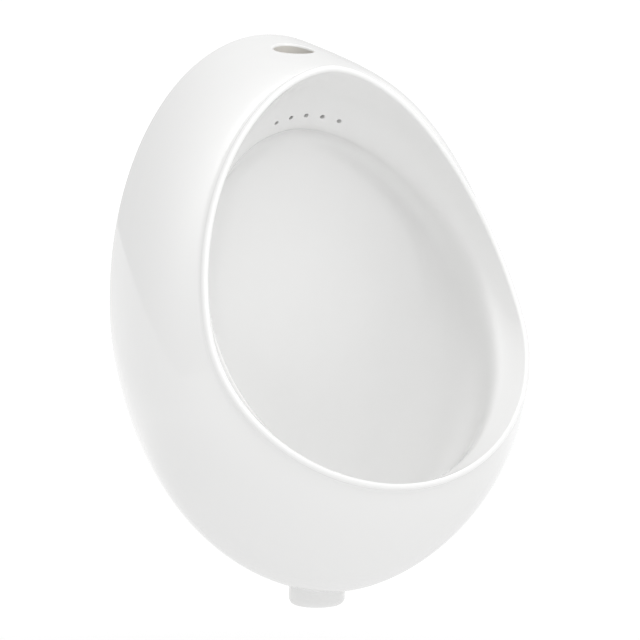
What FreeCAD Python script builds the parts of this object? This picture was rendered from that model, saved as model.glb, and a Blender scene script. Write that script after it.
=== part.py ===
import FreeCAD, Part
import math
import os
import Sketcher

# Wall hung urinal of glazed vitreous china, hung on two steel hangers, with a lift-out strainer.
# Frame: X to the right as seen from the front, Y into the wall, Z up. The wall is the plane Y = 0.
# The origin is the middle of the four hanger screw holes. "Reach" is a distance out from the wall,
# "height" is up from the origin and "drop" is down from it. All sizes are millimetres.

SIZES = {
    # egg shaped outline of the shell on the wall
    "wall_top_height": 125.0,
    "wall_bottom_drop": 327.5,
    "wall_widest_drop": 108.0,
    "wall_half_width": 155.5,
    # the shell half way out, where it is fullest
    "belly_top_height": 107.5,
    "belly_top_reach": 83.0,
    "belly_bottom_drop": 351.5,
    "belly_bottom_reach": 161.5,
    "belly_widest_drop": 178.0,
    "belly_half_width": 174.0,
    # the rim, which leans forward at the bottom and dips towards the wall half way down
    "rim_top_height": 98.5,
    "rim_top_reach": 125.5,
    "rim_bottom_drop": 239.5,
    "rim_bottom_reach": 275.5,
    "rim_widest_drop": 118.5,
    "rim_half_width": 151.0,
    "rim_dip": 22.0,
    "rim_width": 6.0,
    "bead_radius": 3.8,
    # the wall thickness of the casting, and the shelves inside it
    "china_wall": 11.0,
    "rail_thickness": 12.0,
    "rail_bottom_height": 30.0,
    "gallery_floor_height": 64.0,
    # the throat, a soft edge behind which the bowl widens
    "brow_height": 76.0,
    "brow_reach": 91.0,
    "throat_top_height": 47.5,
    "throat_top_reach": 73.0,
    "throat_bottom_drop": 249.5,
    "throat_bottom_reach": 244.0,
    "throat_widest_drop": 101.0,
    "throat_half_width": 137.5,
    # the bowl behind it
    "bowl_half_width": 146.0,
    "bowl_roof_height": 49.0,
    "bowl_floor_drop": 323.0,
    "bowl_back_reach": 44.0,
    "bowl_back_half_width": 78.0,
    "bowl_widest_drop": 130.0,
    # flush inlet and spray holes
    "inlet_reach": 52.8,
    "inlet_radius": 17.5,
    "inlet_collar_wall": 8.0,
    "inlet_collar_height": 82.0,
    "spray_count": 5,
    "spray_pitch": 15.3,
    "spray_radius": 2.3,
    "spray_height": 60.0,
    "spray_reach": 80.0,
    "spray_tilt": 35.0,
    # outlet
    "outlet_reach": 98.0,
    "spigot_radius": 25.0,
    "spigot_end_drop": 375.0,
    "spigot_edge_radius": 4.0,
    "spigot_length": 15.0,
    "spigot_root_radius": 4.0,
    "outlet_bore_radius": 19.0,
    "outlet_boss_radius": 42.0,
    "outlet_boss_height": 60.0,
    "well_radius": 36.0,
    "well_floor_drop": 329.5,
    # strainer
    "strainer_radius": 34.0,
    "strainer_sheet": 1.2,
    "strainer_flange": 6.0,
    "strainer_rise": 11.0,
    "strainer_flat_radius": 23.5,
    "strainer_hole_radius": 2.3,
    "inner_ring_radius": 11.2,
    "inner_ring_count": 8,
    "outer_ring_radius": 18.5,
    "outer_ring_count": 14,
    "seal_thickness": 2.0,
    "seal_width": 11.0,
    "rivet_radius": 2.0,
    "rivet_gap": 0.05,
    "rivet_head_radius": 4.2,
    "rivet_head_height": 1.8,
    "rivet_tail_radius": 3.2,
    "rivet_tail_height": 1.2,
    "clip_leg_count": 3,
    "clip_sheet": 0.8,
    "clip_width": 7.0,
    "clip_hub_radius": 6.5,
    "clip_knee_radius": 15.6,
    "clip_knee_height": 4.0,
    "clip_bow_drop": 9.0,
    "clip_toe_drop": 16.0,
    "clip_toe_radius": 16.5,
    "clip_gap": 0.1,
    # hangers and their pads
    "hanger_spacing": 160.0,
    "hanger_width": 44.0,
    "hanger_steel": 3.0,
    "hanger_foot_drop": 30.0,
    "hanger_tongue_height": 45.0,
    "hanger_bend_radius": 2.0,
    "hanger_corner_radius": 6.0,
    "screw_spacing": 28.0,
    "screw_hole_radius": 4.25,
    "pad_thickness": 2.0,
    "pad_width": 46.0,
    "pad_top_height": 43.0,
}

# Each egg outline is a superellipse; 2 is an ellipse, less is leaner and more is squarer.
LEAN, ROUND, SQUARE = 1.84, 2.0, 2.15
# the spans of each half of an egg, and the loops from the wall to the rim
HALF_STEPS = 12
SKIN_STEPS = 8
# a cut is this long, so that it runs out past what it opens
CUT_LENGTH = 100.0
# a place on the middle line or the base plane of a sketch
MIDDLE = "0"

doc = FreeCAD.newDocument("wall_hung_urinal")
sheet = doc.addObject("Spreadsheet::Sheet", "sizes")
for row, (alias, value) in enumerate(SIZES.items(), start=1):
    sheet.set("A%d" % row, alias)
    sheet.set("B%d" % row, str(value))
    sheet.setAlias("B%d" % row, alias)
doc.recompute()


def size(expression):
    """The value of an expression in the sheet's names, as a plain number."""
    value = sheet.evalExpression(expression)
    return float(getattr(value, "Value", value))


def bound(expression):
    """The same expression as another object of the document writes it."""
    text = expression
    for alias in sorted(SIZES, key=len, reverse=True):
        text = text.replace(alias, "\0%d\0" % list(SIZES).index(alias))
    for index, alias in enumerate(SIZES):
        text = text.replace("\0%d\0" % index, "sizes." + alias)
    return text


# ---------------------------------------------------------------- sketches and features


def add_sketch(body, name, role, lift=None):
    """A sketch on one of the body's own origin planes, lifted off it by an expression."""
    sketch = body.newObject("Sketcher::SketchObject", name)
    plane = [item for item in body.Origin.OriginFeatures if item.Role == role][0]
    sketch.AttachmentSupport = [(plane, "")]
    sketch.MapMode = "FlatFace"
    if lift:
        sketch.setExpression("AttachmentOffset.Base.z", bound(lift))
    return sketch


def pin_point(sketch, geometry, end, across, up):
    """Fix one end of a sketch line or arc by its distances from the sketch origin."""
    for kind, expression in (("DistanceX", across), ("DistanceY", up)):
        number = sketch.addConstraint(
            Sketcher.Constraint(kind, -1, 1, geometry, end, size(expression)))
        sketch.setExpression("Constraints[%d]" % number, bound(expression))


def draw_outline(sketch, corners):
    """A closed outline. A corner is (across, up) and, where an arc leaves it, also the arc's
    radius, which is negative when the arc turns clockwise."""
    vector = FreeCAD.Vector
    spots = [vector(size(corner[0]), size(corner[1]), 0) for corner in corners]
    for index, corner in enumerate(corners):
        start = spots[index]
        stop = spots[(index + 1) % len(spots)]
        if len(corner) == 2:
            sketch.addGeometry(Part.LineSegment(start, stop))
            continue
        radius = abs(size(corner[2]))
        turn = 1 if size(corner[2]) > 0 else -1
        half = (stop - start) * 0.5
        side = vector(-half.y, half.x, 0).normalize() * turn
        centre = start + half + side * math.sqrt(radius ** 2 - half.Length ** 2)
        first = math.atan2(start.y - centre.y, start.x - centre.x)
        last = math.atan2(stop.y - centre.y, stop.x - centre.x)
        if turn < 0:
            first, last = last, first
        circle = Part.Circle(centre, vector(0, 0, 1), radius)
        sketch.addGeometry(Part.ArcOfCircle(circle, first, last))
    for index, corner in enumerate(corners):
        following = (index + 1) % len(corners)
        begin, end = sketch_ends(corner)
        next_begin = sketch_ends(corners[following])[0]
        sketch.addConstraint(
            Sketcher.Constraint("Coincident", index, end, following, next_begin))
        pin_point(sketch, index, begin, corner[0], corner[1])
        if len(corner) == 3:
            radius = corner[2].lstrip("-")
            number = sketch.addConstraint(
                Sketcher.Constraint("Radius", index, abs(size(radius))))
            sketch.setExpression("Constraints[%d]" % number, bound(radius))


def sketch_ends(corner):
    """Which of a sketch edge's points is its first and which its last along the outline."""
    if len(corner) == 3 and corner[2].startswith("-"):
        return 2, 1
    return 1, 2


def draw_circle(sketch, across, up, radius):
    centre = FreeCAD.Vector(size(across), size(up), 0)
    circle = Part.Circle(centre, FreeCAD.Vector(0, 0, 1), size(radius))
    index = sketch.addGeometry(circle)
    number = sketch.addConstraint(Sketcher.Constraint("Radius", index, size(radius)))
    sketch.setExpression("Constraints[%d]" % number, bound(radius))
    pin_point(sketch, index, 3, across, up)


def add_pad(body, name, sketch, length):
    """A pad of equal depth to both sides of its sketch."""
    pad = body.newObject("PartDesign::Pad", name)
    pad.Profile = sketch
    pad.Midplane = True
    pad.setExpression("Length", bound(length))
    return pad


def add_revolution(body, name, sketch):
    """A full turn about the sketch's vertical axis."""
    turned = body.newObject("PartDesign::Revolution", name)
    turned.Profile = sketch
    turned.ReferenceAxis = (sketch, ["V_Axis"])
    turned.Angle = 360.0
    return turned


def add_through_pocket(body, name, sketch):
    """A cut through everything, to both sides of its sketch."""
    pocket = body.newObject("PartDesign::Pocket", name)
    pocket.Profile = sketch
    pocket.Midplane = True
    pocket.Type = 1
    return pocket


def add_ring_of(body, name, features, count):
    """Equal copies of features about the body's vertical axis."""
    axis = [item for item in body.Origin.OriginFeatures if item.Role == "Z_Axis"][0]
    ring = body.newObject("PartDesign::PolarPattern", name)
    ring.Originals = features
    ring.Axis = (axis, [""])
    ring.Angle = 360.0
    ring.setExpression("Occurrences", bound(count))
    body.Tip = ring
    return ring


def add_fillet(body, name, base, radius, wanted):
    """Round the edges of a feature for which wanted(edge) is true."""
    doc.recompute()
    names = ["Edge%d" % (index + 1) for index, edge in enumerate(base.Shape.Edges) if wanted(edge)]
    fillet = body.newObject("PartDesign::Fillet", name)
    fillet.Base = (base, names)
    fillet.setExpression("Radius", bound(radius))
    body.Tip = fillet
    return fillet


def new_body(label, across=MIDDLE, reach=MIDDLE, height=MIDDLE):
    """A body whose own origin stands at this place in the urinal's frame."""
    body = doc.addObject("PartDesign::Body", label)
    body.Label = label
    body.setExpression("Placement.Base.x", bound(across))
    body.setExpression("Placement.Base.y", bound("-(%s)" % reach))
    body.setExpression("Placement.Base.z", bound(height))
    return body


# ---------------------------------------------------------------- the ceramic casting


class Egg:
    """One closed loop round the casting: an egg with a top and a bottom point on the middle
    plane, a widest level, and a dip towards the wall half way down."""

    def __init__(self, top, bottom, widest, half_width, upper=ROUND, lower=ROUND, dip=0.0):
        self.top_reach, self.top = top
        self.bottom_reach, self.bottom = bottom
        self.widest = widest
        self.half_width = half_width
        self.upper = upper
        self.lower = lower
        self.dip = dip

    def point(self, turn):
        """The point at an angle from the top, clockwise as seen from the front."""
        rise, side = math.cos(turn), math.sin(turn)
        power = self.upper if rise >= 0 else self.lower
        tall = self.top - self.widest if rise >= 0 else self.widest - self.bottom
        scale = (abs(rise) ** power + abs(side) ** power) ** (-1 / power)
        level = self.widest + tall * scale * rise
        share = (self.top - level) / (self.top - self.bottom)
        reach = self.top_reach + share * (self.bottom_reach - self.top_reach)
        reach -= 4 * self.dip * share * (1 - share)
        return FreeCAD.Vector(self.half_width * scale * side, -reach, level)

    def half(self, first, last):
        """A smooth curve over the top or under the bottom of the egg. Every loop has the same
        parameters, so that a skin through several of them has no needless spans."""
        steps = range(HALF_STEPS + 1)
        turns = [first + (last - first) * step / HALF_STEPS for step in steps]
        curve = Part.BSplineCurve()
        curve.interpolate([self.point(turn) for turn in turns],
                          Parameters=[step / HALF_STEPS for step in steps],
                          InitialTangent=self.heading(first), FinalTangent=self.heading(last))
        return curve.toShape()

    def heading(self, turn):
        return (self.point(turn + 0.001) - self.point(turn - 0.001)).normalize()

    def wire(self):
        side = math.pi / 2
        return Part.Wire([self.half(-side, side), self.half(side, 3 * side)])

    def values(self):
        return (self.top_reach, self.top, self.bottom_reach, self.bottom, self.widest,
                self.half_width, self.upper, self.lower, self.dip)

    def grown(self, margin, back=0.0, dip=None):
        """The loop grown by a margin in its own plane and moved towards the wall by back."""
        top = (self.top_reach - back, self.top + margin)
        bottom = (self.bottom_reach - back, self.bottom - margin)
        width = self.half_width + margin
        kept = self.dip if dip is None else dip
        return Egg(top, bottom, self.widest, width, self.upper, self.lower, kept)


def blend(first, middle, last, along):
    """The parabola through three values at 0, a half and 1."""
    return (first * (1 - along) * (1 - 2 * along)
            + middle * 4 * along * (1 - along)
            + last * along * (2 * along - 1))


def shell_loop(along):
    """The outside of the casting from the wall, 0, over the belly, a half, to the rim, 1."""
    def at(wall, belly, rim):
        return blend(size(wall), size(belly), size(rim), along)

    top = (at("0", "belly_top_reach", "rim_top_reach"),
           at("wall_top_height", "belly_top_height", "rim_top_height"))
    bottom = (at("0", "belly_bottom_reach", "rim_bottom_reach"),
              -at("wall_bottom_drop", "belly_bottom_drop", "rim_bottom_drop"))
    widest = -at("wall_widest_drop", "belly_widest_drop", "rim_widest_drop")
    half_width = at("wall_half_width", "belly_half_width", "rim_half_width")
    upper = blend(ROUND, SQUARE, LEAN, along)
    lower = blend(ROUND, LEAN, ROUND, along)
    return Egg(top, bottom, widest, half_width, upper, lower, size("rim_dip") * along ** 2)


def refined(loops):
    """The loops with one more half way between each two, on the smooth curve through them."""
    rows = [loop.values() for loop in loops]
    fuller = [loops[0]]
    for index in range(1, len(rows)):
        before = rows[max(index - 2, 0)]
        after = rows[min(index + 1, len(rows) - 1)]
        middle = [(9 * (one + two) - early - late) / 16
                  for early, one, two, late in zip(before, rows[index - 1], rows[index], after)]
        fuller += [Egg(middle[0:2], middle[2:4], *middle[4:]), loops[index]]
    return fuller


def skin_through(loops):
    """The upper and lower faces of a skin led straight from each loop to the next."""
    solid, ruled = False, True
    return Part.makeLoft([loop.wire() for loop in loops], solid, ruled).Faces


def cap_over(loop):
    """The face that closes one loop, flat where the loop is flat."""
    if loop.dip == 0 and loop.top_reach == loop.bottom_reach:
        return Part.Face(loop.wire())
    return Part.makeFilledFace(loop.wire().Edges)


def sewn(faces):
    """The solid that a closed set of faces holds."""
    shell = Part.Shell(faces)
    shell.sewShape()
    solid = Part.Solid(shell)
    if solid.Volume < 0:
        solid.reverse()
    return solid


def solid_through(loops):
    return sewn(skin_through(loops) + [cap_over(loops[0]), cap_over(loops[-1])])


def make_shell():
    """The outer form: the skin from the wall to the rim, then the bead rolled round the rim line,
    closed over by a curved face inside the bead."""
    radius = size("bead_radius")
    rim = shell_loop(1.0)
    skin = [shell_loop(step / SKIN_STEPS) for step in range(SKIN_STEPS)]
    skin.append(rim.grown(0, back=radius))
    turns = [math.radians(turn) for turn in range(-90, 181, 45)]
    bead = [rim.grown(radius * math.cos(turn), back=-radius * math.sin(turn)) for turn in turns]
    return sewn([cap_over(skin[0])] + skin_through(skin) + skin_through(bead)
                + [cap_over(bead[-1])])


def bowl_loops():
    """The open inside from the rim, past the brow and the throat, to the back of the bowl."""
    rim = shell_loop(1.0)
    lip = rim.grown(-size("rim_width"))
    ahead = lip.grown(1, back=-size("rim_width"))
    throat_bottom = (size("throat_bottom_reach"), -size("throat_bottom_drop"))
    throat_width = size("throat_half_width")
    widest = -size("throat_widest_drop")
    brow = Egg((size("brow_reach"), size("brow_height")),
               ((lip.bottom_reach + throat_bottom[0]) / 2, (lip.bottom + throat_bottom[1]) / 2 - 1),
               (lip.widest + widest) / 2, (lip.half_width + throat_width) / 2,
               lip.upper, ROUND, lip.dip / 2)
    throat = Egg((size("throat_top_reach"), size("throat_top_height")), throat_bottom,
                 widest, throat_width, LEAN, SQUARE)
    back = size("bowl_back_reach")
    roof = size("bowl_roof_height")
    floor = -size("bowl_floor_drop")
    level = -size("bowl_widest_drop")
    wide = size("bowl_half_width")
    narrow = size("bowl_back_half_width")
    outlet = size("outlet_reach")
    reach, drop = throat_bottom
    # each loop stands a few steps from the roof, the back, the floor and the width of the bowl
    hollow = [
        Egg((back + 19, roof + 1), (reach - 17, drop - 12), widest - 8, wide - 3, LEAN, SQUARE),
        Egg((back + 12, roof - 4), (reach - 46, (drop + floor) / 2), level, wide, LEAN, ROUND),
        Egg((back + 7, roof - 12), (outlet + 62, floor + 12), level - 12, wide - 6, ROUND, ROUND),
        Egg((back + 3, roof - 26), (outlet + 24, floor + 1), level - 20, wide - 19, ROUND, ROUND),
        Egg((back + 1, roof - 44), (outlet - 22, floor + 1), level - 25, wide - 41, ROUND, ROUND),
        Egg((back, roof - 66), (back + 8, floor + 26), level - 27, narrow, ROUND, ROUND),
        Egg((back - 1, roof - 100), (back, floor + 74), level - 27, narrow / 2, ROUND, ROUND),
    ]
    return [ahead] + refined([lip, brow, throat] + hollow)


def make_casting_hollow():
    """The space between the outer wall and the bowl, open towards the wall of the room."""
    wall = size("china_wall")
    mouth = shell_loop(0).grown(-wall, back=wall)
    last = SKIN_STEPS * 3 // 4
    outside = [mouth] + [shell_loop(step / SKIN_STEPS).grown(-wall) for step in range(last + 1)]
    bowl = bowl_loops()
    last = len(bowl) - 1
    behind = [loop.grown(wall, back=wall * (index / last) ** 3) for index, loop in enumerate(bowl)]
    hollow = solid_through(outside).cut(solid_through(behind))
    wide = 2 * size("belly_half_width")
    deep = size("rim_bottom_reach")
    floor_top = size("gallery_floor_height")
    shelf = Part.makeBox(wide, deep, wall, FreeCAD.Vector(-wide / 2, -deep, floor_top - wall))
    rail_bottom = size("rail_bottom_height")
    rail = size("rail_thickness")
    plate = Part.makeBox(wide, rail + wall, deep, FreeCAD.Vector(-wide / 2, -rail, rail_bottom))
    boss = Part.makeCylinder(size("outlet_boss_radius"), size("outlet_boss_height"),
                             FreeCAD.Vector(0, -size("outlet_reach"), -size("spigot_end_drop")))
    collar = Part.makeCylinder(size("inlet_radius + inlet_collar_wall"), deep,
                               FreeCAD.Vector(0, -size("inlet_reach"), size("inlet_collar_height")))
    return hollow.cut([shelf, plate, boss, collar])


def make_spigot():
    """The outlet tube, turned about the outlet axis, with a rounded end and a hollow root where
    it leaves the shell."""
    radius = size("spigot_radius")
    edge = size("spigot_edge_radius")
    root = size("spigot_root_radius")
    end = -size("spigot_end_drop")
    shoulder = end + size("spigot_length")
    top = -size("bowl_floor_drop") - size("china_wall")
    vector = FreeCAD.Vector
    # the middle of a quarter turn lies this share of its radius in from its two tangents
    inset = 1 - math.sqrt(0.5)
    rounded = Part.Arc(vector(radius, 0, end + edge),
                       vector(radius - inset * edge, 0, end + inset * edge),
                       vector(radius - edge, 0, end))
    hollowed = Part.Arc(vector(radius, 0, shoulder),
                        vector(radius + inset * root, 0, shoulder + root - inset * root),
                        vector(radius + root, 0, shoulder + root))
    corners = [(radius - edge, end), (0, end), (0, top), (radius + root, top),
               (radius + root, shoulder + root)]
    spots = [vector(across, 0, level) for across, level in corners]
    edges = [Part.makeLine(one, two) for one, two in zip(spots, spots[1:])]
    edges += [hollowed.toShape(),
              Part.makeLine(vector(radius, 0, shoulder), vector(radius, 0, end + edge)),
              rounded.toShape()]
    face = Part.Face(Part.Wire(Part.__sortEdges__(edges)))
    spigot = face.revolve(vector(0, 0, 0), vector(0, 0, 1), 360)
    spigot.translate(vector(0, -size("outlet_reach"), 0))
    return spigot


def make_spray_holes():
    """A row of small bores from the gallery out through the brow, following its arch."""
    tilt = math.radians(size("spray_tilt"))
    aim = FreeCAD.Vector(0, -math.cos(tilt), -math.sin(tilt))
    middle = (size("spray_count") - 1) / 2
    holes = []
    for index in range(int(size("spray_count"))):
        across = (index - middle) * size("spray_pitch")
        sag = across ** 2 / (2 * size("throat_half_width"))
        spot = FreeCAD.Vector(across, -size("spray_reach"), size("spray_height") - sag)
        start = spot - aim * (2 * size("china_wall"))
        holes.append(Part.makeCylinder(size("spray_radius"), 3 * size("china_wall"), start, aim))
    return holes


def make_ceramic():
    casting = make_shell().cut(solid_through(bowl_loops()))
    casting = casting.cut(make_casting_hollow()).fuse(make_spigot())
    centre = FreeCAD.Vector(0, -size("outlet_reach"), -size("spigot_end_drop"))
    bore = Part.makeCylinder(size("outlet_bore_radius"), CUT_LENGTH, centre)
    centre.z = -size("well_floor_drop")
    well = Part.makeCylinder(size("well_radius"), CUT_LENGTH, centre)
    centre = FreeCAD.Vector(0, -size("inlet_reach"), size("gallery_floor_height"))
    inlet = Part.makeCylinder(size("inlet_radius"), CUT_LENGTH, centre)
    return casting.cut([bore, well, inlet] + make_spray_holes())


ceramic = doc.addObject("Part::Feature", "ceramic_body")
ceramic.Label = "ceramic_body"
ceramic.Shape = make_ceramic()

# ---------------------------------------------------------------- strainer

WELL_FLOOR = {"reach": "outlet_reach", "height": "-well_floor_drop"}


def make_strainer_dome():
    """A pressed cap with a flat rim, a sloping flank and a flat crown pierced in two rings."""
    body = new_body("strainer_dome", **WELL_FLOOR)
    foot = "strainer_radius - strainer_flange"
    under = "seal_thickness"
    over = "seal_thickness + strainer_sheet"
    flat = "strainer_flat_radius"
    section = add_sketch(body, "dome_section", "XZ_Plane")
    draw_outline(section, [
        ("rivet_radius + rivet_gap", under + " + strainer_rise"),
        (flat + " - strainer_sheet", under + " + strainer_rise"),
        (foot + " - strainer_sheet", under),
        ("strainer_radius", under),
        ("strainer_radius", over),
        (foot, over),
        (flat, over + " + strainer_rise"),
        ("rivet_radius + rivet_gap", over + " + strainer_rise"),
    ])
    add_revolution(body, "dome", section)
    doc.recompute()
    for ring in ("inner_ring", "outer_ring"):
        holes = add_sketch(body, ring + "_hole", "XY_Plane")
        draw_circle(holes, ring + "_radius", MIDDLE, "strainer_hole_radius")
        pocket = add_through_pocket(body, ring + "_pocket", holes)
        add_ring_of(body, ring, [pocket], ring + "_count")
        doc.recompute()
    return body


def make_strainer_seal():
    """A flat rubber ring in the well, under the rim of the dome."""
    body = new_body("strainer_seal", **WELL_FLOOR)
    section = add_sketch(body, "seal_section", "XZ_Plane")
    inside = "strainer_radius - seal_width"
    draw_outline(section, [
        (inside, MIDDLE),
        ("strainer_radius", MIDDLE),
        ("strainer_radius", "seal_thickness"),
        (inside, "seal_thickness"),
    ])
    add_revolution(body, "seal", section)
    return body


def make_strainer_clip():
    """Three sprung legs on a hub under the crown of the dome; they bow out to the outlet bore."""
    body = new_body("strainer_clip", **WELL_FLOOR)
    crown = "seal_thickness + strainer_rise"
    hub = add_sketch(body, "hub_ring", "XY_Plane", lift=crown + " - clip_sheet / 2")
    draw_circle(hub, MIDDLE, MIDDLE, "clip_hub_radius")
    draw_circle(hub, MIDDLE, MIDDLE, "rivet_radius + rivet_gap")
    add_pad(body, "hub", hub, "clip_sheet")
    bow = "sqrt((outlet_bore_radius - clip_gap)^2 - (clip_width / 2)^2)"
    leg = add_sketch(body, "leg_section", "XZ_Plane")
    start = "rivet_radius * 2"
    slant = "clip_sheet * 0.8"
    draw_outline(leg, [
        (start, crown + " - clip_sheet"),
        ("clip_hub_radius + clip_sheet", crown + " - clip_sheet"),
        ("clip_knee_radius - clip_sheet", "clip_knee_height - " + slant),
        (bow + " - clip_sheet", "-clip_bow_drop"),
        ("clip_toe_radius - clip_sheet", "-clip_toe_drop"),
        ("clip_toe_radius", "-clip_toe_drop"),
        (bow, "-clip_bow_drop"),
        ("clip_knee_radius", "clip_knee_height"),
        ("clip_hub_radius + 2 * clip_sheet", crown),
        (start, crown),
    ])
    pad = add_pad(body, "leg", leg, "clip_width")
    add_ring_of(body, "legs", [pad], "clip_leg_count")
    return body


def make_strainer_rivet():
    """A round head above the crown, a shank through dome and clip, and a flat tail below."""
    body = new_body("strainer_rivet", **WELL_FLOOR)
    over = "seal_thickness + strainer_sheet + strainer_rise"
    under = "seal_thickness + strainer_rise - clip_sheet"
    head_arc = "(rivet_head_radius^2 + rivet_head_height^2) / (2 * rivet_head_height)"
    section = add_sketch(body, "rivet_section", "XZ_Plane")
    draw_outline(section, [
        (MIDDLE, under + " - rivet_tail_height"),
        ("rivet_tail_radius", under + " - rivet_tail_height"),
        ("rivet_tail_radius", under),
        ("rivet_radius", under),
        ("rivet_radius", over),
        ("rivet_head_radius", over, head_arc),
        (MIDDLE, over + " + rivet_head_height"),
    ])
    add_revolution(body, "rivet", section)
    return body


# ---------------------------------------------------------------- hangers


def along_x(height, reach):
    """A test for the straight edges across the hanger at this height and reach."""
    def wanted(edge):
        box = edge.BoundBox
        return (box.YLength < 0.01 and box.ZLength < 0.01
                and abs(box.ZMin - size(height)) < 0.01 and abs(box.YMin + size(reach)) < 0.01)
    return wanted


def through_sheet(height):
    """A test for the short edges through the steel at this height."""
    def wanted(edge):
        box = edge.BoundBox
        level = abs(box.ZMin - size(height)) < 0.01 and box.ZLength < 0.01
        return level and box.XLength < 0.01 and len(edge.Vertexes) == 2
    return wanted


def make_hanger(side, sign):
    """A steel strip bent into a hook: a plate on the wall, a saddle and an upright tongue."""
    body = new_body("hanger_" + side, across=sign + "hanger_spacing / 2")
    saddle = "rail_bottom_height - pad_thickness"
    hook = "(rail_thickness + pad_thickness)"
    section = add_sketch(body, "hook_section", "YZ_Plane")
    draw_outline(section, [
        (MIDDLE, "-hanger_foot_drop"),
        (MIDDLE, saddle),
        ("-" + hook, saddle),
        ("-" + hook, "hanger_tongue_height"),
        ("-(%s + hanger_steel)" % hook, "hanger_tongue_height"),
        ("-(%s + hanger_steel)" % hook, saddle + " - hanger_steel"),
        ("-hanger_steel", saddle + " - hanger_steel"),
        ("-hanger_steel", "-hanger_foot_drop"),
    ])
    add_pad(body, "strip", section, "hanger_width")
    holes = add_sketch(body, "screw_holes", "XZ_Plane")
    for level in ("screw_spacing / 2", "-screw_spacing / 2"):
        draw_circle(holes, MIDDLE, level, "screw_hole_radius")
    pocket = add_through_pocket(body, "screw_hole_cut", holes)
    doc.recompute()
    bends = [
        ("outer_bend", "hanger_bend_radius + hanger_steel",
         saddle + " - hanger_steel", hook + " + hanger_steel"),
        ("inner_bend", "hanger_bend_radius", saddle + " - hanger_steel", "hanger_steel"),
    ]
    last = pocket
    for name, radius, height, reach in bends:
        last = add_fillet(body, name, last, radius, along_x(height, reach))
    last = add_fillet(body, "foot_corners", last, "hanger_corner_radius",
                      through_sheet("-hanger_foot_drop"))
    add_fillet(body, "tongue_corners", last, "hanger_corner_radius",
               through_sheet("hanger_tongue_height"))
    return body


def make_hanger_pad(side, sign):
    """A rubber angle between the hook and the hanging rail of the ceramic."""
    body = new_body("hanger_pad_" + side, across=sign + "hanger_spacing / 2")
    saddle = "rail_bottom_height - pad_thickness"
    section = add_sketch(body, "pad_section", "YZ_Plane")
    draw_outline(section, [
        ("-pad_thickness", saddle),
        ("-pad_thickness", "rail_bottom_height"),
        ("-rail_thickness", "rail_bottom_height"),
        ("-rail_thickness", "pad_top_height"),
        ("-(rail_thickness + pad_thickness)", "pad_top_height"),
        ("-(rail_thickness + pad_thickness)", saddle),
    ])
    add_pad(body, "pad", section, "pad_width")
    return body


SUB_PARTS = [ceramic, make_strainer_dome(), make_strainer_seal(), make_strainer_clip(),
             make_strainer_rivet()]
for hand, sign in (("left", "-"), ("right", "")):
    SUB_PARTS += [make_hanger(hand, sign), make_hanger_pad(hand, sign)]

# ---------------------------------------------------------------- checks and files

doc.recompute()
for item in doc.Objects:
    broken = [state for state in item.State if state in ("Invalid", "Error")]
    if broken:
        raise RuntimeError("%s is %s" % (item.Name, broken))
os.makedirs("parts", exist_ok=True)
for item in SUB_PARTS:
    shape = item.Shape
    if shape.isNull() or not shape.isValid():
        raise RuntimeError("%s has no valid shape" % item.Label)
    shape.exportStep("parts/%s.step" % item.Label)
    print(item.Label, len(shape.Solids), "solid", round(shape.Volume / 1000, 2), "cm3")
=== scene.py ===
import math

import bpy
import numpy as np
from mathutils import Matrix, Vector


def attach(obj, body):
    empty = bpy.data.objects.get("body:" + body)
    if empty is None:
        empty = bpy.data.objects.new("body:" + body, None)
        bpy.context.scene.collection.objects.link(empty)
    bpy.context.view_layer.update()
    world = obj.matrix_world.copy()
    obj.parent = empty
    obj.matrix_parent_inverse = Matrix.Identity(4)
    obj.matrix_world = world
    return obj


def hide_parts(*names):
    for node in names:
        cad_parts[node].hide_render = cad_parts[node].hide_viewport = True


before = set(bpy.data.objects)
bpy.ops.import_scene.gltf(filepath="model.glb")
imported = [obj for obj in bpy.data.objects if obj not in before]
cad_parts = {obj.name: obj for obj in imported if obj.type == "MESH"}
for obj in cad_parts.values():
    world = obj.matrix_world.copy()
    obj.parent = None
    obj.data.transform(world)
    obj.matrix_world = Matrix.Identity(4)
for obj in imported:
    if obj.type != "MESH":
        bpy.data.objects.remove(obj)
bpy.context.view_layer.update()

# ---------------------------------------------------------------- ceramic_body
# One casting of vitreous china: an egg shaped shell with a rolled bead round its rim, a throat and a
# bowl inside, and a hollow towards the wall. It is slip cast in a plaster mould, its holes are
# punched while the clay is soft, and all but the foot and the inlet is coated with white glaze.

# sizes are in millimetres; a reach is measured out from the wall, a height from the hanger screws
MM = 0.001
CHINA_WALL = 11.0
FOOT_EDGE = 1.6
BEAD_RADIUS = 3.2
BEAD_END = math.radians(150)
COVE_RADIUS = 6.0
LIP_WIDTH = 6.0

# the exponents of an egg: 2 is an ellipse, less is leaner and more is squarer
ROUND, LEAN, SQUARE, FUNNEL, RIM_CROWN = 2.0, 1.84, 2.15, 1.72, 1.79

# how finely the surfaces are divided
COLUMNS = 480
SKIN_ROWS, COVE_ROWS, BEAD_ROWS = 72, 7, 19
HOLLOW_ROWS, TURN_ROWS = 48, 5
INSIDE_SPACING, BEHIND_SPACING = 2.6, 4.0

# the nine numbers of an egg
TOP_REACH, TOP, BOTTOM_REACH, BOTTOM, WIDEST, HALF_WIDTH, UPPER, LOWER, DIP = range(9)


def egg(top, bottom, widest, half_width, upper, lower, dip=0.0):
    """A closed loop: (reach, height) of its top and bottom, its widest level and half width, the
    exponents of its upper and lower part, and how far it dips towards the wall half way down."""
    return np.array([*top, *bottom, widest, half_width, upper, lower, dip], float)


def grown(loop, margin, back=0.0):
    """The loop made larger by a margin and moved towards the wall by back."""
    return loop + np.array([-back, margin, -back, -margin, 0.0, margin, 0.0, 0.0, 0.0])


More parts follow.
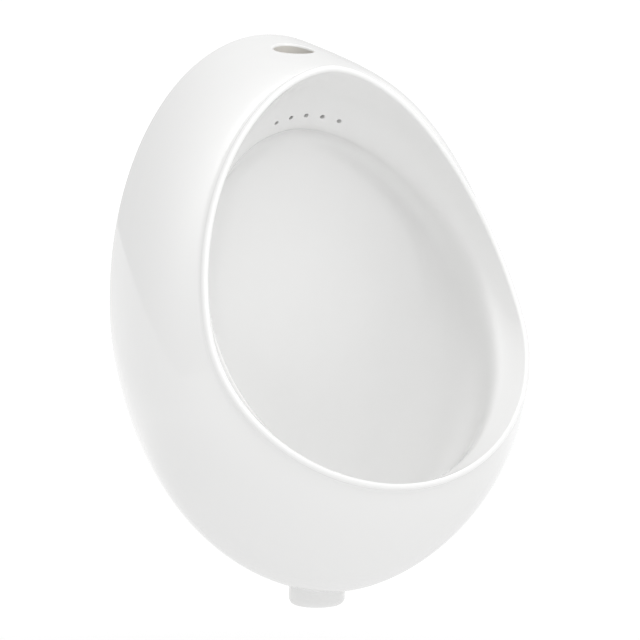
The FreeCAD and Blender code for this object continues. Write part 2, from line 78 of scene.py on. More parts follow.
def spots(loops, turns):
    """The points of loops at angles from the top, clockwise as seen from the front."""
    top_reach, top, bottom_reach, bottom, widest, half_width, upper, lower, dip = np.moveaxis(
        np.asarray(loops), -1, 0)
    rise, side = np.cos(turns), np.sin(turns)
    power = np.where(rise >= 0, upper, lower)
    tall = np.where(rise >= 0, top - widest, widest - bottom)
    scale = (np.abs(rise) ** power + np.abs(side) ** power) ** (-1 / power)
    level = widest + tall * scale * rise
    share = (top - level) / (top - bottom)
    reach = top_reach + share * (bottom_reach - top_reach) - 4 * dip * share * (1 - share)
    return np.stack([half_width * scale * side, -reach, level], axis=-1)


def quarter(steps):
    """The angles of a quarter turn in equal steps."""
    return np.radians(np.linspace(0, 90, steps + 1))


# the outside of the shell
WALL_LOOP = egg((0, 125), (0, -327.5), -108, 155.5, ROUND, ROUND)
BELLY_LOOP = egg((83, 107.5), (161.5, -351.5), -169, 173.75, SQUARE, LEAN, 5.5)
RIM_LOOP = egg((125.5, 98.5), (276, -240.5), -120, 148.2, RIM_CROWN, ROUND, 25.5)
SKIN_START = 0.012
NEAR_RIM = 0.98
GIVE_WAY = 6


def shell_loop(along):
    """The outside of the shell from the wall, 0, over the belly, a half, to the rim, 1."""
    return (WALL_LOOP * (1 - along) * (1 - 2 * along) + BELLY_LOOP * 4 * along * (1 - along)
            + RIM_LOOP * along * (2 * along - 1))


def shifted(loop, steps):
    """The loop with its top, sides and bottom moved by (forward, outward) steps of their own."""
    top, side, bottom = steps
    share = (loop[TOP] - loop[WIDEST]) / (loop[TOP] - loop[BOTTOM])
    carried = top[0] + share * (bottom[0] - top[0])
    dip = (carried - side[0]) / (4 * share * (1 - share))
    return loop + np.array([top[0], top[1], bottom[0], -bottom[1], 0, side[1], 0, 0, dip])


def skin_angles():
    """The angles at which the skin comes to the rim at its top, sides and bottom, from outward."""
    step = shell_loop(1.0) - shell_loop(NEAR_RIM)
    side_step = spots(shell_loop(1.0), math.pi / 2) - spots(shell_loop(NEAR_RIM), math.pi / 2)
    ways = [(step[TOP_REACH], step[TOP]), (-side_step[1], side_step[0]),
            (step[BOTTOM_REACH], -step[BOTTOM])]
    return [math.atan2(forward, outward) for forward, outward in ways]


# the cove is a hollow arc that touches the skin at one end and the bead at the other
rim_angles = skin_angles()
cove_back = math.sqrt((BEAD_RADIUS + COVE_RADIUS) ** 2 - COVE_RADIUS ** 2)
cove_end = math.atan2(cove_back, COVE_RADIUS)


def skin_loop(along):
    """The shell as far as the cove, to which only its last rows give way."""
    steps = [(-cove_back * math.sin(angle), -cove_back * math.cos(angle)) for angle in rim_angles]
    return shifted(shell_loop(along), np.array(steps) * along ** GIVE_WAY)


def cove_loop(turn):
    """The loop at an angle round the cove, from the skin."""
    ahead = COVE_RADIUS * math.sin(turn) - cove_back
    out = COVE_RADIUS * (1 - math.cos(turn))
    steps = []
    for angle in rim_angles:
        steps.append((ahead * math.sin(angle) - out * math.cos(angle),
                      ahead * math.cos(angle) + out * math.sin(angle)))
    return shifted(RIM_LOOP, steps)


def bead_loop(share):
    """The loop at a share of the way round the bead, from the cove to inside the rim."""
    steps = []
    for angle in rim_angles:
        start = angle - math.pi / 2 - cove_end
        turn = start + share * (BEAD_END - start)
        steps.append((BEAD_RADIUS * math.sin(turn), BEAD_RADIUS * math.cos(turn)))
    return shifted(RIM_LOOP, steps)


foot_rows = [grown(WALL_LOOP, -CHINA_WALL / 2)]
for turn in quarter(3)[:-1]:
    foot_rows.append(grown(WALL_LOOP, FOOT_EDGE * (math.sin(turn) - 1),
                           back=FOOT_EDGE * (math.cos(turn) - 1)))
skin_rows = [skin_loop(along) for along in np.linspace(SKIN_START, 1, SKIN_ROWS)]
cove_rows = [cove_loop(turn) for turn in np.linspace(0, cove_end, COVE_ROWS + 1)[1:]]
bead_rows = [bead_loop(share) for share in np.linspace(0, 1, BEAD_ROWS + 1)[1:]]

# the inside: brow, throat and bowl, which draws in to its outlet and ends in a pole at its back
BROW_TOP = (92, 73)
BROW_SAG = 1.0
BOWL_BACK = 43.0
POLE_LEVEL = -141.0
POLE_HALF_HEIGHT = 2.0
POLE_HALF_WIDTH = 0.8
LOOP_APART = 1.4


def pole(reach):
    """The smallest loop, at the back of the bowl."""
    return egg((reach, POLE_LEVEL + POLE_HALF_HEIGHT), (reach, POLE_LEVEL - POLE_HALF_HEIGHT),
               POLE_LEVEL, POLE_HALF_WIDTH, ROUND, ROUND)


def smooth_through(keys, spacing):
    """Loops at about equal steps on the smooth curve through the key loops."""
    keys = np.array(keys)
    steps = np.abs(np.diff(keys[:, :UPPER], axis=0)).mean(axis=1) * LOOP_APART
    knots = np.concatenate([[0], np.cumsum(steps)])
    last = len(knots) - 1
    matrix = np.eye(last + 1)
    right = np.zeros_like(keys)
    for index in range(1, last):
        before, after = steps[index - 1], steps[index]
        matrix[index, index - 1:index + 2] = before, 2 * (before + after), after
        right[index] = 6 * ((keys[index + 1] - keys[index]) / after
                            - (keys[index] - keys[index - 1]) / before)
    bend = np.linalg.solve(matrix, right)
    rows = []
    for at in np.linspace(0, knots[-1], int(knots[-1] / spacing) + 1):
        index = min(int(np.searchsorted(knots, at, side="right")) - 1, last - 1)
        gap = steps[index]
        low, high = (knots[index + 1] - at) / gap, (at - knots[index]) / gap
        rows.append(low * keys[index] + high * keys[index + 1]
                    + ((low ** 3 - low) * bend[index] + (high ** 3 - high) * bend[index + 1])
                    * gap ** 2 / 6)
    return rows


LIP = grown(RIM_LOOP, -LIP_WIDTH)
THROAT = egg((70, 46), (244, -250.5), -103, 131.5, LEAN, SQUARE)
halfway = (LIP + THROAT) / 2
BROW = egg(BROW_TOP, (halfway[BOTTOM_REACH], halfway[BOTTOM] - BROW_SAG),
           halfway[WIDEST], halfway[HALF_WIDTH], LEAN, ROUND, halfway[DIP])
BOWL_KEYS = [
    egg((61, 43), (227, -262.5), -109, 132, LEAN, SQUARE),
    egg((54, 34), (198, -286.3), -120, 132.5, LEAN, LEAN),
    egg((50, 21), (160, -311), -127, 126.5, ROUND, FUNNEL),
    egg((47, 5), (122, -322), -130, 112, ROUND, FUNNEL),
    egg((45, -14), (82, -320), -131, 89, ROUND, FUNNEL),
    egg((44, -36), (58, -289), -132, 62, ROUND, 1.7),
    egg((43, -65), (46, -232), -134, 33, ROUND, ROUND),
]
BOWL_LAST = egg((43, -98), (43.5, -190), -142, 17, ROUND, ROUND)
inside_keys = [bead_rows[-1], BROW, THROAT] + BOWL_KEYS + [BOWL_LAST, pole(BOWL_BACK)]
inside_rows = smooth_through(inside_keys, INSIDE_SPACING)[1:]
outer_rows = np.array(foot_rows + skin_rows + cove_rows + bead_rows + inside_rows)
skin_start = len(foot_rows)
skin_stop = skin_start + SKIN_ROWS
inside_start = len(outer_rows) - len(inside_rows)

# the side towards the wall: the inside of the shell, a turn near the rim, and the back of the bowl
HOLLOW_END = 0.66
FOOT_CORNER = 0.3 * FOOT_EDGE
TURN_SWELL = 20.0

inner_foot_rows = [grown(WALL_LOOP, FOOT_EDGE - CHINA_WALL),
                   grown(WALL_LOOP, FOOT_CORNER - CHINA_WALL, back=-FOOT_CORNER)]
hollow_rows = [grown(skin_loop(along), -CHINA_WALL)
               for along in np.linspace(SKIN_START, HOLLOW_END, HOLLOW_ROWS)]
behind_keys = []
for index, key in enumerate([THROAT] + BOWL_KEYS):
    behind_keys.append(grown(key, CHINA_WALL, back=CHINA_WALL * (index / len(BOWL_KEYS)) ** 2))
behind_keys.append(pole(BOWL_BACK - CHINA_WALL))
turn_rows = []
for share in np.linspace(0, 1, TURN_ROWS + 2)[1:-1]:
    row = hollow_rows[-1] * (1 - share) + behind_keys[0] * share
    turn_rows.append(grown(row, 0, back=-TURN_SWELL * share * (1 - share)))
behind_rows = smooth_through(behind_keys, BEHIND_SPACING)
inner_rows = np.array(inner_foot_rows + hollow_rows + turn_rows + behind_rows)
hollow_start = len(inner_foot_rows)
hollow_stop = hollow_start + HOLLOW_ROWS
behind_start = len(inner_rows) - len(behind_rows)

SEEK_ROUNDS = 12
ROW_STEP, TURN_STEP = 1e-3, 1e-5
EASE_RINGS = 6


class Sheet:
    """A surface through rows of loops, with its grid of points and the cells cut out of it."""

    def __init__(self, rows, first):
        self.rows = rows
        self.first = first
        turns = np.arange(COLUMNS) * 2 * math.pi / COLUMNS
        self.points = spots(rows[:, None, :], turns[None, :]).reshape(-1, 3)
        self.kept = np.ones((len(rows) - 1, COLUMNS), bool)

    def at(self, where):
        """The points at (row, turn) pairs, on a smooth curve between the rows."""
        last = len(self.rows) - 1
        base = np.clip(np.floor(where[:, 0]).astype(int), 0, last - 1)
        part = (where[:, 0] - base)[:, None]
        early, one, two, late = (self.rows[np.clip(base + step, 0, last)] for step in (-1, 0, 1, 2))
        loop = 0.5 * (2 * one + (two - early) * part
                      + (2 * early - 5 * one + 4 * two - late) * part ** 2
                      + (3 * one - early - 3 * two + late) * part ** 3)
        return spots(loop, where[:, 1])

    def seek(self, axis, aims, where):
        """The (row, turn) pairs whose points lie at these places across the axis."""
        where = where.copy()
        for _ in range(SEEK_ROUNDS):
            here = axis.across(self.at(where))
            row_push = (axis.across(self.at(where + (ROW_STEP, 0.0))) - here) / ROW_STEP
            turn_push = (axis.across(self.at(where + (0.0, TURN_STEP))) - here) / TURN_STEP
            jacobian = np.stack([row_push, turn_push], axis=-1)
            where -= np.linalg.solve(jacobian, (here - aims)[..., None])[..., 0]
        return where

    def corner(self, row, column):
        """The number of a point of the grid."""
        return self.first + row * COLUMNS + column % COLUMNS

    def ring(self, row):
        """The numbers of the points of one row."""
        return [self.corner(row, column) for column in range(COLUMNS)]

    def faces(self):
        """The cells that are left, as faces."""
        quads = []
        for row, column in zip(*np.nonzero(self.kept)):
            quads.append((self.corner(row, column), self.corner(row, column + 1),
                          self.corner(row + 1, column + 1), self.corner(row + 1, column)))
        return quads


class Axis:
    """The middle line of a round hole, with two directions across it."""

    def __init__(self, origin, inward):
        self.origin = np.array(origin, float)
        self.inward = np.array(inward, float) / np.linalg.norm(inward)
        self.one = np.array([1.0, 0.0, 0.0])
        self.two = np.cross(self.inward, self.one)

    def across(self, points):
        """How far points lie from the axis in its two directions."""
        offset = points - self.origin
        return np.stack([offset @ self.one, offset @ self.two], axis=-1)

    def ring(self, radius, depth, angles):
        """Points round the axis at a radius and a depth."""
        return (self.origin + self.inward * depth
                + radius * (np.cos(angles)[:, None] * self.one + np.sin(angles)[:, None] * self.two))

    def bend(self, radius, depth, wide, deep, turns, angles):
        """Rings round a rounded edge, whose centre is at this radius and depth."""
        return [self.ring(radius + wide * math.cos(turn), depth + deep * math.sin(turn), angles)
                for turn in turns]


def pierce(sheet, axis, guess, cells, radius, lip, bulge=False):
    """Cuts a block of cells out of a sheet and closes it with rings that run to a round hole,
    whose edge is rounded by the lip radius. With bulge, the edge swells out instead of in.
    Gives the block's corners, the rings and the angle of each spoke."""
    middle = sheet.seek(axis, np.zeros((1, 2)), np.array([guess], float))[0]
    rows, columns = cells
    step = 2 * math.pi / COLUMNS
    row = int(round(middle[0] - rows / 2))
    column = int(round(middle[1] / step - columns / 2))
    sheet.kept[row:row + rows, np.arange(column, column + columns) % COLUMNS] = False
    edge = ([(row, column + index) for index in range(columns)]
            + [(row + index, column + columns) for index in range(rows)]
            + [(row + rows, column + columns - index) for index in range(columns)]
            + [(row + rows - index, column) for index in range(rows)])
    outline = np.array([(one, two * step) for one, two in edge], float)
    plan = axis.across(sheet.at(outline))
    angles = np.arctan2(plan[:, 1], plan[:, 0])
    if np.sum(np.diff(np.unwrap(angles))) < 0:
        edge, outline, angles = edge[::-1], outline[::-1], angles[::-1]
    first = int(np.argmin(np.mod(angles, 2 * math.pi)))
    edge = edge[first:] + edge[:first]
    outline, angles = np.roll(outline, -first, axis=0), np.roll(angles, -first)
    spokes = np.stack([np.cos(angles), np.sin(angles)], axis=-1)
    rim = sheet.seek(axis, spokes * (radius + lip), np.tile(middle, (len(angles), 1)))
    rings = []
    for share in np.linspace(0, 1, EASE_RINGS + 1)[1:]:
        rings.append(sheet.at(outline * (1 - share) + rim * share))
    sign = -1 if bulge else 1
    for turn in quarter(4)[1:]:
        wide = radius + lip * (1 - math.sin(turn))
        spot = sheet.seek(axis, spokes * wide, rim)
        rings.append(sheet.at(spot) + sign * axis.inward * lip * (1 - math.cos(turn)))
    return [sheet.corner(*pair) for pair in edge], rings, angles


class Casting:
    """The points and faces of the whole casting while it is put together."""

    def __init__(self):
        self.points = []
        self.faces = []
        self.count = 0

    def add(self, points):
        """Takes points in and gives their numbers."""
        first = self.count
        self.points.append(np.asarray(points))
        self.count += len(points)
        return list(range(first, self.count))

    def strip(self, one, two):
        """Faces between two rings of as many points."""
        size = len(one)
        for index in range(size):
            following = (index + 1) % size
            self.faces.append((one[index], one[following], two[following], two[index]))

    def run(self, ring, rings):
        """Strips from a ring through more rings; gives the numbers of the last."""
        for points in rings:
            following = self.add(points)
            self.strip(ring, following)
            ring = following
        return ring

    def close(self, ring, centre):
        """A fan that closes a ring at its middle."""
        middle = self.add([centre])[0]
        for index in range(len(ring)):
            self.faces.append((ring[index], ring[(index + 1) % len(ring)], middle))

    def web(self, rings, near_centre, far_centre):
        """A solid web of china through rings, closed at both ends."""
        first = self.add(rings[0])
        last = self.run(first, rings[1:])
        self.close(first, near_centre)
        self.close(last, far_centre)


def nearest_row(rows, start, stop, reach, turn):
    """The row in this range whose point at a turn comes closest to a reach."""
    points = spots(rows[start:stop], turn)
    return start + int(np.argmin(np.abs(points[:, 1] + reach)))


casting = Casting()
outer = Sheet(outer_rows, 0)
casting.add(outer.points)
inner = Sheet(inner_rows, casting.count)
casting.add(inner.points)
casting.strip(outer.ring(0), inner.ring(0))
casting.close(outer.ring(len(outer_rows) - 1), (0, -BOWL_BACK, POLE_LEVEL))
casting.close(inner.ring(len(inner_rows) - 1), (0, CHINA_WALL - BOWL_BACK, POLE_LEVEL))

# the flush inlet: a round hole in the deck, with a collar on its underside
INLET_REACH = 52.8
INLET_RADIUS = 17.5
INLET_LIP = 2.2
INLET_CELLS = (22, 28)
TUBE_HEIGHTS = (100, 92)
COLLAR_RADIUS = 25.5
COLLAR_BOTTOM = 82.0
COLLAR_EDGE = 2.0
COLLAR_ROOT = 3.0

inlet = Axis((0, -INLET_REACH, 0), (0, 0, -1))
start = nearest_row(outer_rows, skin_start, skin_stop, INLET_REACH, 0.0)
deck_edge, deck_rings, deck_angles = pierce(outer, inlet, (start, 0.0), INLET_CELLS,
                                            INLET_RADIUS, INLET_LIP)
start = nearest_row(inner_rows, hollow_start, hollow_stop, INLET_REACH, 0.0)
under_edge, under_rings, _ = pierce(inner, inlet, (start, 0.0), INLET_CELLS,
                                    COLLAR_RADIUS, COLLAR_ROOT)
collar_depth = -(COLLAR_BOTTOM + COLLAR_EDGE)
tube = [inlet.ring(INLET_RADIUS, -height, deck_angles) for height in TUBE_HEIGHTS]
tube.append(inlet.ring(INLET_RADIUS, collar_depth, deck_angles))
tube += inlet.bend(INLET_RADIUS + COLLAR_EDGE, collar_depth, -COLLAR_EDGE, COLLAR_EDGE,
                   quarter(3)[1:], deck_angles)
tube += inlet.bend(COLLAR_RADIUS - COLLAR_EDGE, collar_depth, COLLAR_EDGE, COLLAR_EDGE,
                   quarter(3)[::-1], deck_angles)
last = casting.run(casting.run(deck_edge, deck_rings), tube)
casting.strip(last, casting.run(under_edge, under_rings))

# the outlet: a round well in the floor of the bowl, a bore, and the spigot that sticks out below,
# with their levels as depths under the hanger screws
OUTLET_REACH = 98.0
OUTLET_CELLS = (26, 60)
WELL_RADIUS = 36.0
WELL_LIP = 3.0
WELL_FLOOR = 329.5
WELL_CORNER = 2.0
WELL_RINGS = (30, 26, 22)
BORE_RADIUS = 19.0
BORE_EDGE = 1.2
BORE_RINGS = (340, 350, 360, 370)
SPIGOT_RADIUS = 25.0
SPIGOT_END = 375.0
SPIGOT_EDGE = 4.0
SPIGOT_EDGE_HEIGHT = 6.4
SPIGOT_TOP = 366.0
SPIGOT_ROOT = 4.0
FLOOR_PAST_RIM, FLOOR_BEFORE_POLE = 30, 25

outlet = Axis((0, -OUTLET_REACH, 0), (0, 0, -1))
start = nearest_row(outer_rows, inside_start + FLOOR_PAST_RIM, len(outer_rows) - FLOOR_BEFORE_POLE,
                    OUTLET_REACH, math.pi)
well_edge, well_rings, well_angles = pierce(outer, outlet, (start, math.pi), OUTLET_CELLS,
                                            WELL_RADIUS, WELL_LIP)
corner_depth = WELL_FLOOR - WELL_CORNER
well = [outlet.ring(WELL_RADIUS, corner_depth, well_angles)]
well += outlet.bend(WELL_RADIUS - WELL_CORNER, corner_depth, WELL_CORNER, WELL_CORNER,
                    quarter(3)[1:], well_angles)
well += [outlet.ring(radius, WELL_FLOOR, well_angles) for radius in WELL_RINGS]
well += outlet.bend(BORE_RADIUS + BORE_EDGE, WELL_FLOOR + BORE_EDGE, -BORE_EDGE, -BORE_EDGE,
                    quarter(3)[::-1], well_angles)
well += [outlet.ring(BORE_RADIUS, depth, well_angles) for depth in BORE_RINGS]
well += outlet.bend(BORE_RADIUS + BORE_EDGE, SPIGOT_END - BORE_EDGE, -BORE_EDGE, BORE_EDGE,
                    quarter(2), well_angles)
well += outlet.bend(SPIGOT_RADIUS - SPIGOT_EDGE, SPIGOT_END - SPIGOT_EDGE_HEIGHT, SPIGOT_EDGE,
                    SPIGOT_EDGE_HEIGHT, quarter(6)[::-1], well_angles)
well.append(outlet.ring(SPIGOT_RADIUS, SPIGOT_TOP, well_angles))
start = nearest_row(outer_rows, skin_start, skin_stop, OUTLET_REACH, math.pi)
root_edge, root_rings, _ = pierce(outer, outlet, (start, math.pi), OUTLET_CELLS,
                                  SPIGOT_RADIUS, SPIGOT_ROOT)
last = casting.run(casting.run(well_edge, well_rings), well)
casting.strip(last, casting.run(root_edge, root_rings))

# the boss of china round the outlet, between the shell and the bowl
BOSS_RADIUS = 42.0
BOSS_ROOT = 5.0
BOSS_PAST_RIM, BOSS_BEFORE_POLE = 20, 10

start = nearest_row(inner_rows, hollow_start, hollow_stop, OUTLET_REACH, math.pi)
low_edge, low_rings, _ = pierce(inner, outlet, (start, math.pi), OUTLET_CELLS,
                                BOSS_RADIUS, BOSS_ROOT, bulge=True)
start = nearest_row(inner_rows, behind_start + BOSS_PAST_RIM, len(inner_rows) - BOSS_BEFORE_POLE,
                    OUTLET_REACH, math.pi)
high_edge, high_rings, _ = pierce(inner, outlet, (start, math.pi), OUTLET_CELLS,
                                  BOSS_RADIUS, BOSS_ROOT)
casting.strip(casting.run(low_edge, low_rings), casting.run(high_edge, high_rings))

# the spray holes: a row of small bores up into the brow, in an arch, only as deep as can be seen
SPRAY_COUNT = 5
SPRAY_PITCH = 15.3
SPRAY_RADIUS = 2.0
SPRAY_LIP = 0.7
SPRAY_TILT = math.radians(35)
SPRAY_REACH = 77.0
SPRAY_HEIGHT = 57.0
SPRAY_ARCH = 275.0
SPRAY_CELLS = (6, 6)
SPRAY_DEPTHS = (3, 6, 9)
BROW_START, BROW_STOP = inside_start + 8, inside_start + 40
BROW_HEIGHT = 59.0
BROW_RADIUS = 140.0

brow_heights = spots(outer_rows[BROW_START:BROW_STOP], 0.0)[:, 2]
start = BROW_START + int(np.argmin(np.abs(brow_heights - BROW_HEIGHT)))
for index in range(SPRAY_COUNT):
    across = (index - (SPRAY_COUNT - 1) / 2) * SPRAY_PITCH
    bore = Axis((across, -SPRAY_REACH, SPRAY_HEIGHT - across ** 2 / SPRAY_ARCH),
                (0, math.cos(SPRAY_TILT), math.sin(SPRAY_TILT)))
    edge, rings, angles = pierce(outer, bore, (start, across / BROW_RADIUS), SPRAY_CELLS,
                                 SPRAY_RADIUS, SPRAY_LIP)
    rings += [bore.ring(SPRAY_RADIUS, depth, angles) for depth in SPRAY_DEPTHS]
    casting.close(casting.run(edge, rings), bore.origin + bore.inward * SPRAY_DEPTHS[-1])

# the hanging rail: a flat web of china behind the gallery, whose lower edge rests on the hangers
RAIL_BOTTOM = 30.0
RAIL_BACK = 0.4
RAIL_DEPTH = 12.0
RAIL_EDGE = 2.0
RAIL_CORNER = 1.0
RAIL_MIDDLE = 75.0
RAIL_POINTS, RAIL_LOWER_POINTS = 81, 41
RAIL_TRIES = 901
EMBED = 1.5
SHELL_REACH = 215.0


def rail_ring(reach, lift):
    """The outline of the rail at a reach, let into the shell, with its lower edge lifted."""
    loop = grown(shell_loop(reach / SHELL_REACH), EMBED - CHINA_WALL)
    level = spots(loop, np.linspace(0, math.pi / 2, RAIL_TRIES))[:, 2]
    above = np.sum(level > RAIL_BOTTOM + RAIL_EDGE + RAIL_CORNER)
    end = math.pi / 2 * above / RAIL_TRIES
    points = spots(loop, np.linspace(-end, end, RAIL_POINTS))
    side = np.linspace(points[-1, 0], points[0, 0], RAIL_LOWER_POINTS)
    level = np.full_like(side, RAIL_BOTTOM + lift)
    lower = np.stack([side, np.zeros_like(side), level], axis=-1)
    ring = np.concatenate([points, lower])
    ring[:, 1] = -reach
    return ring


rings = []
for turn in quarter(3):
    rings.append(rail_ring(RAIL_BACK + RAIL_EDGE * (1 - math.cos(turn)),
                           RAIL_EDGE * (1 - math.sin(turn))))
for turn in quarter(3)[::-1]:
    rings.append(rail_ring(RAIL_DEPTH - RAIL_EDGE * (1 - math.cos(turn)),
                           RAIL_EDGE * (1 - math.sin(turn))))
casting.web(rings, (0, -RAIL_BACK, RAIL_MIDDLE), (0, -RAIL_DEPTH, RAIL_MIDDLE))

# the floor of the flush gallery: a level shelf of china between the rail and the hood
SHELF_BOTTOM = 53.0
SHELF_TOP = 64.0
SHELF_OUTLINE = 55.0
SHELF_EMBED = 1.015
SHELF_MIDDLE = 35.0
SHELF_TRIES = 400

half = []
for row in inner_rows:
    points = spots(row, np.linspace(0, math.pi / 2, SHELF_TRIES))
    if points[0, 2] > SHELF_OUTLINE:
        half.append(points[np.argmin(np.abs(points[:, 2] - SHELF_OUTLINE))])
half = np.array(half)
half[:, 0] *= SHELF_EMBED
half[:, 1] = np.minimum(half[:, 1], -RAIL_DEPTH / 2)
plan = np.concatenate([half, half[::-1] * (-1.0, 1.0, 1.0)])
rings = []
for level in (SHELF_BOTTOM, SHELF_TOP):
    ring = plan.copy()
    ring[:, 2] = level
    rings.append(ring)
casting.web(rings, (0, -SHELF_MIDDLE, SHELF_BOTTOM), (0, -SHELF_MIDDLE, SHELF_TOP))

# the casting as one mesh, smooth but for its corners
SHARP_CORNER = math.radians(40)

casting.faces += outer.faces() + inner.faces()
china_mesh = bpy.data.meshes.new("china_casting")
china_points = np.concatenate(casting.points) * MM
china_mesh.from_pydata([tuple(point) for point in china_points], [], casting.faces)
china_mesh.validate()
china = bpy.data.objects.new("china_casting", china_mesh)
bpy.context.scene.collection.objects.link(china)
china_mesh.shade_smooth()
china_mesh.set_sharp_from_angle(angle=SHARP_CORNER)
china.modifiers.new("even_shading", "WEIGHTED_NORMAL").keep_sharp = True
bpy.context.view_layer.objects.active = china
china.select_set(True)
bpy.ops.object.mode_set(mode="EDIT")
bpy.ops.mesh.select_all(action="SELECT")
bpy.ops.mesh.delete_loose()
bpy.ops.mesh.select_all(action="SELECT")
bpy.ops.mesh.normals_make_consistent(inside=False)
bpy.ops.object.mode_set(mode="OBJECT")
china.select_set(False)


def new_material(name, colour, roughness, metallic=0.0):
    """A material of one base colour, and its shader."""
    material = bpy.data.materials.new(name)
    material.use_nodes = True
    shader = material.node_tree.nodes["Principled BSDF"]
    shader.inputs["Base Color"].default_value = (*colour, 1)
    shader.inputs["Roughness"].default_value = roughness
    shader.inputs["Metallic"].default_value = metallic
    return material, shader


def add_waves(material, shader, scale, height, detail=2.0):
    """Small waves all over a surface, of this many per metre and this height in metres."""
    tree = material.node_tree
    place = tree.nodes.new("ShaderNodeTexCoord")
    noise = tree.nodes.new("ShaderNodeTexNoise")
    noise.inputs["Scale"].default_value = scale
    noise.inputs["Detail"].default_value = detail
    bump = tree.nodes.new("ShaderNodeBump")
    bump.inputs["Distance"].default_value = height
    bump.inputs["Strength"].default_value = 1.0
    tree.links.new(place.outputs["Object"], noise.inputs["Vector"])
    tree.links.new(noise.outputs["Fac"], bump.inputs["Height"])
    tree.links.new(bump.outputs["Normal"], shader.inputs["Normal"])


# the glaze: clear over white, pooled in low slow waves as it melted
GLAZE_COLOUR = (0.84, 0.84, 0.835)
GLAZE_ROUGHNESS = 0.07
GLAZE_IOR = 1.52
GLAZE_WAVES, GLAZE_WAVE_HEIGHT = 14.0, 0.00035

glaze, glaze_shader = new_material("white_glaze", GLAZE_COLOUR, GLAZE_ROUGHNESS)
glaze_shader.inputs["IOR"].default_value = GLAZE_IOR
add_waves(glaze, glaze_shader, GLAZE_WAVES, GLAZE_WAVE_HEIGHT, detail=1.0)
china_mesh.materials.append(glaze)

# bare china: the foot, which is wiped clean of glaze before the firing, and the inlet's bore
BARE_COLOUR = (0.68, 0.66, 0.62)
BARE_ROUGHNESS = 0.85
BARE_GRAIN, BARE_GRAIN_HEIGHT = 1200.0, 0.00003
FOOT_DEPTH = 0.6
BARE_RADIUS = INLET_RADIUS + 1.0
BARE_TOP = 111.0

bare, bare_shader = new_material("bare_china", BARE_COLOUR, BARE_ROUGHNESS)
add_waves(bare, bare_shader, BARE_GRAIN, BARE_GRAIN_HEIGHT)
china_mesh.materials.append(bare)
middles = np.empty(3 * len(china_mesh.polygons))
china_mesh.polygons.foreach_get("center", middles)
across, outward, level = middles.reshape(-1, 3).T / MM
on_foot = outward > -FOOT_DEPTH
in_inlet = np.hypot(across, outward + INLET_REACH) < BARE_RADIUS
in_inlet &= (level > COLLAR_BOTTOM) & (level < BARE_TOP)
china_mesh.polygons.foreach_set("material_index", (on_foot | in_inlet).astype(np.int32))

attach(china, "urinal")
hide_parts("ceramic_body")

# ------------------------------------------------- strainer_dome, strainer_clip, strainer_rivet
# The lift-out strainer: a pressed and pierced cap, a sprung clip under it that centres it in the
# outlet, and the rivet that joins the two. All three are satin stainless steel.

STEEL_COLOUR = (0.62, 0.62, 0.63)
STEEL_ROUGHNESS = 0.28
STEEL_GRAIN, STEEL_GRAIN_HEIGHT = 900.0, 0.00001


def dress(nodes, material):
    """Gives these pieces of the frame one material."""
    for node in nodes:
        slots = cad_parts[node].data.materials
        slots.clear()
        slots.append(material)


steel, steel_shader = new_material("stainless_steel", STEEL_COLOUR, STEEL_ROUGHNESS, metallic=1.0)
add_waves(steel, steel_shader, STEEL_GRAIN, STEEL_GRAIN_HEIGHT)
dress(["strainer_dome", "strainer_clip", "strainer_rivet"], steel)

# ------------------------------------------------- strainer_seal, hanger_pad_left, hanger_pad_right
# Black rubber: a flat ring cut from sheet, under the edge of the strainer, and two angle strips
# between the steel hangers and the hanging rail.

RUBBER_COLOUR = (0.03, 0.03, 0.03)
RUBBER_ROUGHNESS = 0.7
RUBBER_GRAIN, RUBBER_GRAIN_HEIGHT = 1500.0, 0.00002

rubber, rubber_shader = new_material("black_rubber", RUBBER_COLOUR, RUBBER_ROUGHNESS)
add_waves(rubber, rubber_shader, RUBBER_GRAIN, RUBBER_GRAIN_HEIGHT)
dress(["strainer_seal", "hanger_pad_left", "hanger_pad_right"], rubber)

# ---------------------------------------------------------------- hanger_left, hanger_right
# Two hooks bent from 3 mm steel strip and zinc plated. Each is fixed to the wall with two screws,
# and the rail on the back of the casting drops over its tongue.

ZINC_COLOUR = (0.55, 0.56, 0.57)
ZINC_ROUGHNESS = 0.38
ZINC_GRAIN, ZINC_GRAIN_HEIGHT = 500.0, 0.00002

zinc, zinc_shader = new_material("zinc_plate", ZINC_COLOUR, ZINC_ROUGHNESS, metallic=1.0)
add_waves(zinc, zinc_shader, ZINC_GRAIN, ZINC_GRAIN_HEIGHT)
dress(["hanger_left", "hanger_right"], zinc)

# ---------------------------------------------------------------- floor
# A plain pale floor far below the hanging bowl. It glows a little, and less so close under the
# bowl, so that it is as pale as the studio round it and the underside stays in soft shade.

FLOOR_LEVEL = -0.75
FLOOR_SIZE = 600
FLOOR_COLOUR = (0.6, 0.6, 0.6)
FLOOR_ROUGHNESS = 0.9
GLOW_START, GLOW_FULL = 0.8, 1.8
NEAR_GLOW, FAR_GLOW = 0.3, 0.57

bpy.ops.mesh.primitive_plane_add(size=FLOOR_SIZE, location=(0, 0, FLOOR_LEVEL))
floor = bpy.context.object
floor.name = "studio_floor"
paint, paint_shader = new_material("pale_floor", FLOOR_COLOUR, FLOOR_ROUGHNESS)
paint_shader.inputs["Emission Color"].default_value = (1, 1, 1, 1)
tree = paint.node_tree
place = tree.nodes.new("ShaderNodeTexCoord")
away = tree.nodes.new("ShaderNodeVectorMath")
away.operation = "LENGTH"
glow = tree.nodes.new("ShaderNodeMapRange")
glow.inputs["From Min"].default_value = GLOW_START
glow.inputs["From Max"].default_value = GLOW_FULL
glow.inputs["To Min"].default_value = NEAR_GLOW
glow.inputs["To Max"].default_value = FAR_GLOW
tree.links.new(place.outputs["Object"], away.inputs[0])
tree.links.new(away.outputs["Value"], glow.inputs["Value"])
tree.links.new(glow.outputs["Result"], paint_shader.inputs["Emission Strength"])
floor.data.materials.append(paint)

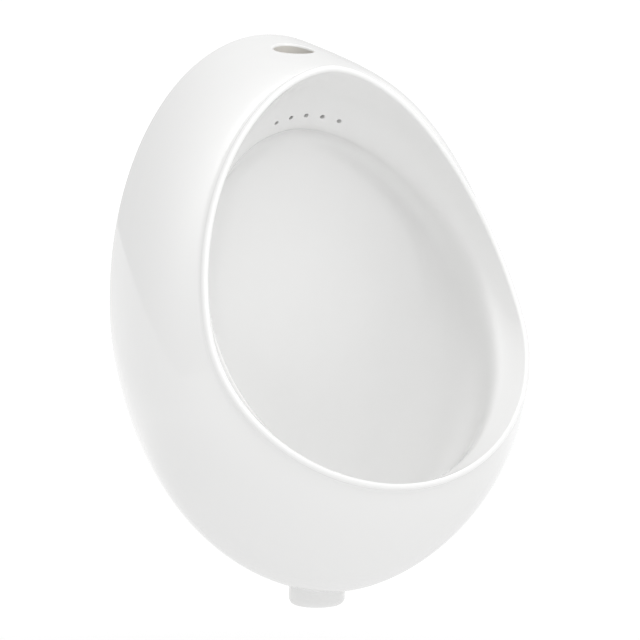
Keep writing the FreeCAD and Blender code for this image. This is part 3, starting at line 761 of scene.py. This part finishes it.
# ---------------------------------------------------------------- studio light
# White light from all round, and three large square panels above and in front of the bowl that
# face its middle.

SKY_STRENGTH = 0.75
MIDDLE = Vector((0, -0.14, -0.125))
PANEL_AWAY = 2.6
# name, degrees to the right of the front, degrees up, side in metres and power in watts
PANELS = (
    ("left_panel", -10, 50, 2.2, 11.5),
    ("right_panel", 25, 55, 2.2, 19.0),
    ("top_panel", 10, 75, 1.6, 4.0),
)


def way_out(turn, rise):
    """The direction from the bowl at degrees to the right of the front and degrees up."""
    turn, rise = math.radians(turn), math.radians(rise)
    return Vector((math.sin(turn) * math.cos(rise), -math.cos(turn) * math.cos(rise),
                   math.sin(rise)))


world = bpy.data.worlds.new("studio")
bpy.context.scene.world = world
world.use_nodes = True
sky = world.node_tree.nodes["Background"]
sky.inputs["Color"].default_value = (1, 1, 1, 1)
sky.inputs["Strength"].default_value = SKY_STRENGTH
for name, turn, rise, size, power in PANELS:
    lamp = bpy.data.lights.new(name, "AREA")
    lamp.size = size
    lamp.energy = power
    panel = bpy.data.objects.new(name, lamp)
    outward = way_out(turn, rise)
    panel.location = MIDDLE + outward * PANEL_AWAY
    panel.rotation_euler = (-outward).to_track_quat("-Z", "Y").to_euler()
    bpy.context.scene.collection.objects.link(panel)

# ---------------------------------------------------------------- camera
# A still camera to the left of the front and a little above it. Its lens is set by how many pixels
# of the frame a millimetre at the middle of the bowl takes up, and its shift by where that lies.

CAMERA_TURN = -27
CAMERA_RISE = 7.449
CAMERA_AWAY = 2.5
PIXELS_PER_MM = 1.15725
FRAME_SIZE = 640
CENTRE_X, CENTRE_Y = 338.29, 328.84
SENSOR_WIDTH = 36

lens = bpy.data.cameras.new("camera")
camera = bpy.data.objects.new("camera", lens)
backward = way_out(CAMERA_TURN, CAMERA_RISE)
camera.location = MIDDLE + backward * CAMERA_AWAY
camera.rotation_euler = (-backward).to_track_quat("-Z", "Y").to_euler()
lens.sensor_width = SENSOR_WIDTH
lens.lens = PIXELS_PER_MM * CAMERA_AWAY / MM * SENSOR_WIDTH / FRAME_SIZE
lens.shift_x = (FRAME_SIZE / 2 - CENTRE_X) / FRAME_SIZE
lens.shift_y = (CENTRE_Y - FRAME_SIZE / 2) / FRAME_SIZE
bpy.context.scene.collection.objects.link(camera)
bpy.context.scene.camera = camera
bpy.context.scene.view_settings.view_transform = "Standard"
